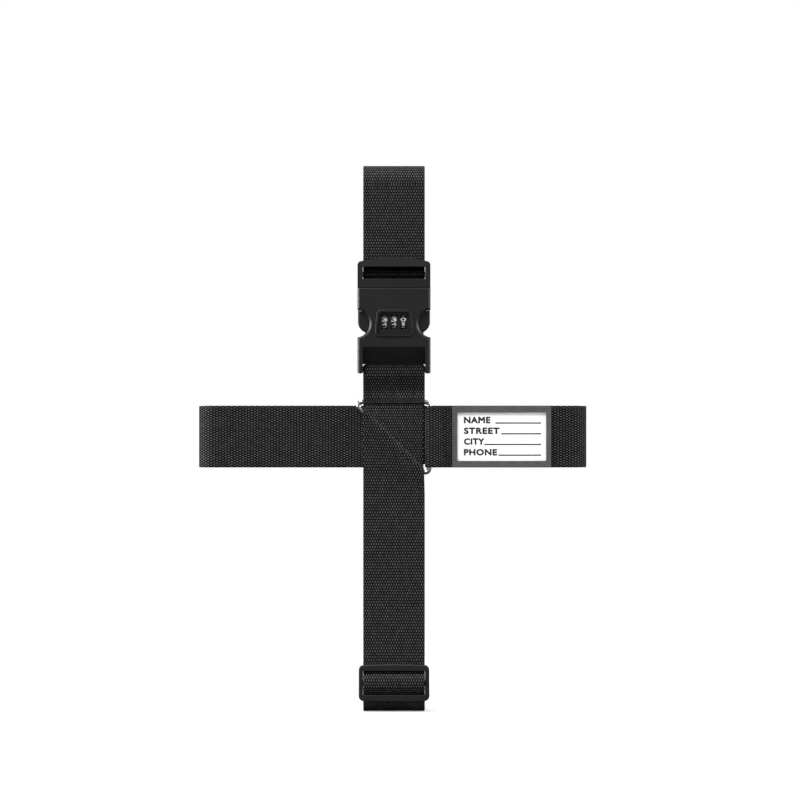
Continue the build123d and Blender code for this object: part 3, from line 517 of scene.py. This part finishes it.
PROFILE = fold_profile()
PROFILE_S = np.array([s for _, _, s in PROFILE])
PROFILE_U = np.array([p.x for p, _, _ in PROFILE])
PROFILE_V = np.array([p.y for p, _, _ in PROFILE])
PROFILE_NU = np.array([n.x for _, n, _ in PROFILE])
PROFILE_NV = np.array([n.y for _, n, _ in PROFILE])
ROOT2 = math.sqrt(2)


def folded(across, along, out):
    """A point of the flat ply, taken over the bar: along is height until the ply reaches it."""
    t = (across + along - HYP) / ROOT2
    w = (across - along + CROSS_Z) / ROOT2
    if t < PROFILE_U[0]:
        u, v, nu, nv = t, PROFILE_V[0], 0.0, 1.0
        s = 0.0
    else:
        s = t - PROFILE_U[0]
        u = np.interp(s, PROFILE_S, PROFILE_U)
        v = np.interp(s, PROFILE_S, PROFILE_V)
        nu = np.interp(s, PROFILE_S, PROFILE_NU)
        nv = np.interp(s, PROFILE_S, PROFILE_NV)
    u += nu * out
    v += nv * out
    x = (HYP - CROSS_Z) / 2 + (w + u) / ROOT2
    z = (HYP + CROSS_Z) / 2 + (u - w) / ROOT2
    return Vector((x, -RING_DEPTH - v, z)), s


def fold_end():
    """Length along the ply where its folded part has come to the upright ply's left edge."""
    low, high = CROSS_Z, CROSS_Z + 0.08
    for _ in range(40):
        middle = (low + high) / 2
        point, _ = folded(0.0, middle, 0.0)
        turned = point.y > -RING_DEPTH
        if turned and point.x < -WEB_W / 2:
            high = middle
        else:
            low = middle
    return low


end = fold_end()
point, _ = folded(0.0, end, 0.0)
drift = CROSS_Z - point.z  # the wrap's own length shifts the level part by this much
wrap_at = PROFILE_S[int(np.argmax(PROFILE_U))]
CLIMB = 0.004  # rows are close together from this far below the front run's upper end
CLIMB_STEP = 0.0009
SHIFT_HALF = 0.004  # the level part is brought to height over twice this length
climb_at = run_high.z - CLIMB
rows = list(np.arange(run_start, climb_at, STEP))
rows += list(np.arange(climb_at, end, CLIMB_STEP)) + [end]
section = web_section(columns=56)
verts = []
weave = []
for along in rows:
    for across, out in section:
        point, s = folded(across, along, out)
        share = min(1.0, max(0.0, (s - wrap_at + SHIFT_HALF) / (2 * SHIFT_HALF)))
        point.z += drift * share * share * (3 - 2 * share)
        verts.append(point)
        weave.append((across, along, 0.0))
fold = new_piece("web_front_and_fold", verts, sweep_faces(len(rows), len(section)), WEBBING,
                 "strap", ["front_run_webbing", "fold_webbing"])
set_weave(fold, weave)

# ---------------------------------------------------------------- level loop
tail_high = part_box("ring_end_webbing")[1]
left = level_low.x + WEB_T / 2
right = level_high.x - WEB_T / 2
over = level_high.y - WEB_T / 2
corners = [
    (-WEB_W / 2, -PLY0), (left, -PLY0), (left, PLY0), (-WEB_W * 0.6, over),
    (WEB_W * 0.6, over), (right, PLY0), (right, -PLY0), (tail_high.x, -PLY0),
]
radii = [EDGE_R] * 2 + [0.040] * 2 + [EDGE_R] * 2
frames = path_frames(bent_path(corners, radii, STEP))
web_strip("web_level_loop", frames, on_level, "strap", ["level_loop_webbing"], start=end)
along_right = frames[-1][2] + end

corners = [
    (tail_high.x, -PLY0),
    (RING_X - WRAP_R, -PLY0),
    (RING_X - WRAP_R, -RING_DEPTH - WRAP_R),
    (RING_X + 0.0020, -RING_DEPTH - WRAP_R),
    (RING_X + 0.0105, -PLY1),
    (tail_high.x - 0.0003, -PLY1),
]
radii = [WRAP_R - CORNER_EASE, WRAP_R - CORNER_EASE, 0.004, 0.006]
frames = path_frames(bent_path(corners, radii, FINE_STEP))
web_strip("web_ring_end", frames, on_level, "strap", ["ring_end_webbing"], start=along_right)

# ---------------------------------------------------------------- link between ring and buckle
link_low, link_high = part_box("link_webbing")
LINK_BAR_R = 0.0024
SPREAD_Z = RING_Z + 0.0022  # the plies spread over the ring's bar below here
NECK_Z = RING_Z + 0.0095  # and are drawn in here
LINK_PLY = LINK_BAR_R + CLEARANCE + WEB_T / 2
link_y = link_low.y + WEB_T / 2 + LINK_PLY
link_z = link_high.z - WEB_T / 2 - LINK_PLY
corners = [
    (-RING_DEPTH - WRAP_R, RING_Z - WRAP_R),
    (-RING_DEPTH + WRAP_R, RING_Z - WRAP_R),
    (-RING_DEPTH + WRAP_R, SPREAD_Z),
    (-RING_DEPTH + 0.0009, NECK_Z),
    (link_y + LINK_PLY, link_z - 1.5 * LINK_PLY),
    (link_y + LINK_PLY, link_z + LINK_PLY),
    (link_y - LINK_PLY, link_z + LINK_PLY),
    (link_y - LINK_PLY, link_z - 1.5 * LINK_PLY),
    (-RING_DEPTH - 0.0014, NECK_Z),
    (-RING_DEPTH - WRAP_R, SPREAD_Z),
]
LINK_EASE = 0.0001
radii = [WRAP_R - LINK_EASE] * 2 + [0.003, 0.008, 0.008]
radii += [LINK_PLY - LINK_EASE] * 2 + [0.005, 0.008, 0.003]
points = bent_path(corners, radii, 0.0015, closed=True)
web_strip("web_link", path_frames(points, closed=True), on_side, "strap", ["link_webbing"],
          closed=True)

# ---------------------------------------------------------------- webbing at the slider
tail_box_low, tail_box_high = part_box("slider_tail_webbing")
y = (tail_box_low.y + tail_box_high.y) / 2
TAIL_ROWS = 60
tail_length = tail_box_high.z - tail_box_low.z
rows = [Vector((y, tail_box_low.z + tail_length * k / TAIL_ROWS)) for k in range(TAIL_ROWS + 1)]
piece = web_strip("web_slider_tail", path_frames(rows), on_side, None, ["slider_tail_webbing"],
                  WEBBING_UPRIGHT)
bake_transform(piece)

sewn_low, sewn_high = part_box("slider_sewn_end_webbing")
half_t = WEB_T / 2
corners = [
    (sewn_high.y - half_t, sewn_low.z + half_t),
    (sewn_high.y - half_t, sewn_high.z - half_t),
    (sewn_low.y + half_t, sewn_high.z - half_t),
    (sewn_low.y + half_t, sewn_low.z + half_t),
]
points = bent_path(corners, [0.0012] * 4, FINE_STEP, closed=True)
web_strip("web_slider_sewn_end", path_frames(points, closed=True), on_side, "slider",
          ["slider_sewn_end_webbing"], closed=True)

over_low, over_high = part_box("slider_over_bar_webbing")
slider_z = (over_low.z + over_high.z) / 2
FOOT = 0.0018  # straight part where the ply comes up past the frame
foot_y = over_high.y
crest_y = over_low.y + half_t
reach = (over_high.z - over_low.z) / 2 - half_t
top = (sewn_high.z - sewn_low.z) / 2 - half_t - 0.0002
corners = [
    (foot_y, slider_z - reach),
    (foot_y - FOOT, slider_z - reach),
    (crest_y, slider_z - top),
    (crest_y, slider_z + top),
    (foot_y - FOOT, slider_z + reach),
    (foot_y, slider_z + reach),
]
frames = path_frames(bent_path(corners, [0.0009, 0.003, 0.003, 0.0009], FINE_STEP))
web_strip("web_slider_over_bar", frames, on_side, "slider", ["slider_over_bar_webbing"])


# ---------------------------------------------------------------- carried-over CAD nodes
def finish_node(name, material, bevel=0.0, segments=2):
    node = nodes[name]
    node.data.materials.clear()
    node.data.materials.append(material)
    for polygon in node.data.polygons:
        polygon.use_smooth = True
        polygon.material_index = 0
    if bevel:
        soft = node.modifiers.new("soft_edges", "BEVEL")
        soft.width = bevel
        soft.segments = segments
        soft.limit_method = "ANGLE"
        soft.angle_limit = math.radians(34)
        soft.harden_normals = True
        soft.use_clamp_overlap = True


for name in ("female_front_shell", "female_back_cover", "male_frame"):
    finish_node(name, PLASTIC, 0.0003)
for name in ("prong_left", "prong_right", "slider_frame"):
    finish_node(name, PLASTIC, 0.0004)
for name in ("latch_plate", "reset_button"):
    finish_node(name, PLASTIC, 0.00015)
for side in ("left", "middle", "right"):
    finish_node(f"dial_{side}", DIAL_PLASTIC, 0.0002)
    finish_node(f"cam_sleeve_{side}", BRASS, 0.0001)
finish_node("triangle_ring", CHROME)
for name in ("cover_screws", "dial_axle", "detent_spring", "reset_spring"):
    finish_node(name, STEEL)
for name in ("tag_backing", "tag_frame"):
    finish_node(name, LEATHERETTE, 0.00025)
finish_node("tag_card", CARD)
finish_node("tag_window", FILM)


# ---------------------------------------------------------------- lettering
def letters(name, text, cap_height, width, thick, material, bold=0.0):
    """Text as a mesh about the origin, in X and Y, with its capitals that high and that wide.

    bold widens each stroke by laying down shifted copies, each a hair above the last."""
    curve = bpy.data.curves.new(name, "FONT")
    curve.body = text
    curve.resolution_u = 3
    curve.align_x = "LEFT"
    curve.space_character = 1.10
    holder = bpy.data.objects.new(name, curve)
    bpy.context.scene.collection.objects.link(holder)
    bpy.context.view_layer.update()
    mesh = bpy.data.meshes.new_from_object(holder)
    bpy.data.objects.remove(holder)
    co = np.array([v.co[:] for v in mesh.vertices])
    low, high = co.min(0), co.max(0)
    inner = np.array([width - 2 * bold, cap_height - 2 * bold])
    scale = np.append(inner / (high[:2] - low[:2]), 1.0)
    co = (co - np.array([low[0], low[1], 0.0])) * scale + np.array([bold, bold, 0.0])
    mesh.vertices.foreach_set("co", co.astype(np.float32).ravel())
    bm = bmesh.new()
    bm.from_mesh(mesh)
    bmesh.ops.remove_doubles(bm, verts=bm.verts, dist=1e-6)
    top = bmesh.ops.extrude_face_region(bm, geom=list(bm.faces))
    raised = [e for e in top["geom"] if isinstance(e, bmesh.types.BMVert)]
    bmesh.ops.translate(bm, verts=raised, vec=(0, 0, thick))
    bmesh.ops.recalc_face_normals(bm, faces=bm.faces)
    if bold:
        copies = [bmesh.ops.duplicate(bm, geom=list(bm.faces))["geom"] for _ in range(8)]
        for k, copy in enumerate(copies):
            turn = math.pi / 4 * k
            shift = (bold * math.cos(turn), bold * math.sin(turn), 0.02 * thick * (k + 1))
            moved = [e for e in copy if isinstance(e, bmesh.types.BMVert)]
            bmesh.ops.translate(bm, verts=moved, vec=shift)
    bm.to_mesh(mesh)
    bm.free()
    mesh.materials.clear()
    mesh.materials.append(material)
    piece = bpy.data.objects.new(name, mesh)
    bpy.context.scene.collection.objects.link(piece)
    return piece


# address card: four form words, each with a rule after it
# word, its width, and how far from the window's edge its rule starts
WORDS = (("NAME", 0.0217, 0.0310), ("STREET", 0.0291, 0.0357), ("CITY", 0.0166, 0.0220),
         ("PHONE", 0.0271, 0.0335))
CAP = 0.0055
ROW = 0.0087
WINDOW_W = 0.0722
WINDOW_H = 0.0393
TEXT_MARGIN = 0.0054
RULE_MARGIN = 0.0042
FIRST_ROW = 0.0089  # from the window's top to the first base line
RULE_BELOW = 0.0002
RULE_ABOVE = 0.0009
INK_T = 0.00004
CARD_BOLD = 0.00038
tag_x = (frame_low.x + frame_high.x) / 2
text_x = tag_x - WINDOW_W / 2 + TEXT_MARGIN
rule_end = tag_x + WINDOW_W / 2 - RULE_MARGIN
ink_y = card_low.y
for row, (word, width, rule_from) in enumerate(WORDS):
    base_z = CROSS_Z + WINDOW_H / 2 - FIRST_ROW - row * ROW
    piece = letters(f"card_word_{word.lower()}", word, CAP, width, INK_T, INK, CARD_BOLD)
    upright = Matrix.Rotation(math.radians(90), 4, "X")
    piece.data.transform(Matrix.Translation((text_x, ink_y, base_z)) @ upright)
    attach(piece, "card")
    x0, x1 = text_x - TEXT_MARGIN + rule_from, rule_end
    z0, z1 = base_z - RULE_BELOW, base_z + RULE_ABOVE
    outline = ((x0, z0), (x1, z0), (x1, z1), (x0, z1))
    verts = [(x, y, z) for y in (ink_y, ink_y - INK_T) for x, z in outline]
    faces = [(0, 1, 2, 3), (4, 5, 6, 7), (0, 1, 5, 4), (1, 2, 6, 5), (2, 3, 7, 6), (3, 0, 4, 7)]
    new_piece(f"card_rule_{word.lower()}", verts, faces, INK, "card", smooth=False)

# digits on the dials, bent round the wheel, each between two finger grooves
DIGIT_H = 0.0034
DIGIT_W = 0.0043
DIGIT_T = 0.00003
DIGIT_LIFT = 0.00002  # clear of the wheel
DIGIT_CUTS = 10  # bands that let a digit bend round the wheel
DIGIT_TURN = 36  # degrees
ONE_WIDTH = 0.55  # a 1 is narrower, as a share of the others
DIGIT_BOLD = 0.00008
for side, facing in (("left", 3), ("middle", 3), ("right", 0)):
    low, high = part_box(f"dial_{side}")
    radius = (high.z - low.z) / 2
    centre = (low + high) / 2
    for step in range(10):
        digit = (facing + step) % 10
        piece = letters(f"digit_{side}_{digit}", str(digit), DIGIT_H,
                        DIGIT_W * (ONE_WIDTH if digit == 1 else 1.0), DIGIT_T, DIGIT_WHITE,
                        DIGIT_BOLD)
        bm = bmesh.new()
        bm.from_mesh(piece.data)
        for cut in range(1, DIGIT_CUTS):
            geometry = list(bm.verts) + list(bm.edges) + list(bm.faces)
            bmesh.ops.bisect_plane(bm, geom=geometry, plane_co=(0, DIGIT_H * cut / DIGIT_CUTS, 0),
                                   plane_no=(0, 1, 0))
        middle = max(v.co.x for v in bm.verts) / 2
        for v in bm.verts:
            place = math.radians(DIGIT_TURN / 2 - DIGIT_TURN * step)
            angle = place + (v.co.y - DIGIT_H / 2) / radius
            out = radius + DIGIT_LIFT + v.co.z
            v.co = Vector((
                centre.x + v.co.x - middle,
                centre.y - out * math.cos(angle),
                centre.z + out * math.sin(angle),
            ))
        bm.to_mesh(piece.data)
        bm.free()
        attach(piece, f"dial_{side}")


# ---------------------------------------------------------------- stitching
def stitches(name, runs, out, pitch, length, thick, material, body):
    """Rows of raised stitches between pairs of points; out is the side they stand on."""
    out = Vector(out).normalized()
    verts, faces = [], []
    rings, sides = 7, 6
    for a, b in runs:
        a, b = Vector(a), Vector(b)
        run = b - a
        way = run.normalized()
        side = way.cross(out)
        count = max(1, int(run.length / pitch))
        for k in range(count):
            middle = a + run * (k + 0.5) / count
            base = len(verts)
            for j in range(rings):
                f = j / (rings - 1)
                swell = max(0.12, math.sin(math.pi * f) ** 0.5)
                lift = thick * 0.42 * math.sin(math.pi * f) - thick * 0.15
                centre = middle + way * (f - 0.5) * length + out * lift
                for i in range(sides):
                    t = 2 * math.pi * i / sides
                    spoke = side * math.cos(t) + out * math.sin(t)
                    verts.append(centre + spoke * thick / 2 * swell)
            for j in range(rings - 1):
                for i in range(sides):
                    q = (i + 1) % sides
                    faces.append((base + j * sides + i, base + j * sides + q,
                                  base + (j + 1) * sides + q, base + (j + 1) * sides + i))
            faces.append(tuple(base + i for i in range(sides)))
            faces.append(tuple(base + (rings - 1) * sides + i for i in range(sides)))
    return new_piece(name, verts, faces, material, body)


seam_y = frame_low.y
TAG_SEAM_IN = 0.0016
x0, x1 = frame_low.x + TAG_SEAM_IN, frame_high.x - TAG_SEAM_IN
z0, z1 = frame_low.z + TAG_SEAM_IN, frame_high.z - TAG_SEAM_IN
tag_runs = [((x0, seam_y, z0), (x1, seam_y, z0)), ((x0, seam_y, z1), (x1, seam_y, z1)),
            ((x0, seam_y, z0), (x0, seam_y, z1))]
stitches("tag_stitching", tag_runs, (0, -1, 0), 0.0030, 0.0023, 0.00045, GREY_THREAD, "strap")

end_y = -PLY1 - WEB_T / 2
END_SEAM_IN = 0.0035  # from the webbing's edges
x0, x1 = RING_X + 0.0125, tail_high.x - 0.0025
z0, z1 = level_low.z + END_SEAM_IN, level_high.z - END_SEAM_IN
end_runs = [((x0, end_y, z0), (x0, end_y, z1)), ((x1, end_y, z0), (x1, end_y, z1))]
stitches("ring_end_stitching", end_runs, (0, -1, 0), 0.0026, 0.0021, 0.0005, THREAD, "strap")

# ---------------------------------------------------------------- floor, light
def floor_material():
    """Pale sweep that melts into the background away from the object."""
    m = Shader("floor", Specular_IOR_Level=0.1, Roughness=0.8)
    m.bsdf.inputs["Base Color"].default_value = (0.90, 0.90, 0.90, 1.0)
    distance = m.node("ShaderNodeVectorMath", operation="LENGTH")
    m.link(m.place(), distance.inputs[0])
    fade = m.span(distance.outputs["Value"], 0.25, 1.8, 0.45, 0.0)
    m.link(fade, m.bsdf.inputs["Alpha"])
    return m.material


bm = bmesh.new()
bmesh.ops.create_circle(bm, cap_ends=True, segments=96, radius=6.0)
floor_mesh = bpy.data.meshes.new("floor")
bm.to_mesh(floor_mesh)
bm.free()
floor_mesh.materials.append(floor_material())
floor = bpy.data.objects.new("floor", floor_mesh)
floor.location.z = -0.0002
bpy.context.scene.collection.objects.link(floor)
floor.visible_glossy = False
floor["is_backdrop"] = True


def soft_light(name, place, aim, size, watts):
    data = bpy.data.lights.new(name, "AREA")
    data.shape = "RECTANGLE"
    data.size, data.size_y = size
    data.energy = watts
    lamp = bpy.data.objects.new(name, data)
    lamp.location = place
    lamp.rotation_euler = (Vector(aim) - Vector(place)).to_track_quat("-Z", "Y").to_euler()
    bpy.context.scene.collection.objects.link(lamp)


middle = Vector((0, 0, HEIGHT / 2))
soft_light("key", (-0.8, -1.1, 2.5), middle, (0.8, 0.8), 84)
soft_light("left_edge", (-2.2, -0.3, 0.7), middle, (0.6, 1.4), 74)
soft_light("right_edge", (2.2, -0.5, 1.0), middle, (0.6, 1.4), 48)
soft_light("back", (0.6, 2.2, 1.6), middle, (1.6, 1.6), 24)

# white studio: the background is white, while the object sees a dimmer room, darker below
world = bpy.data.worlds.new("studio")
world.use_nodes = True
tree = world.node_tree
room = tree.nodes["Background"]
rise = tree.nodes.new("ShaderNodeSeparateXYZ")
tree.links.new(tree.nodes.new("ShaderNodeTexCoord").outputs["Generated"], rise.inputs[0])
shade = tree.nodes.new("ShaderNodeMapRange")
tree.links.new(rise.outputs[2], shade.inputs["Value"])
for key, value in (("From Min", -0.6), ("From Max", 1.0), ("To Min", 0.04), ("To Max", 0.62)):
    shade.inputs[key].default_value = value
tree.links.new(shade.outputs["Result"], room.inputs["Strength"])
room.inputs["Color"].default_value = (1.0, 1.0, 1.0, 1.0)
white = tree.nodes.new("ShaderNodeBackground")
white.inputs["Color"].default_value = (1.0, 1.0, 1.0, 1.0)
choose = tree.nodes.new("ShaderNodeMixShader")
tree.links.new(tree.nodes.new("ShaderNodeLightPath").outputs["Is Camera Ray"], choose.inputs[0])
tree.links.new(room.outputs[0], choose.inputs[1])
tree.links.new(white.outputs[0], choose.inputs[2])
tree.links.new(choose.outputs[0], tree.nodes["World Output"].inputs["Surface"])
bpy.context.scene.world = world
bpy.context.scene.view_settings.view_transform = "Standard"

low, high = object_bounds()
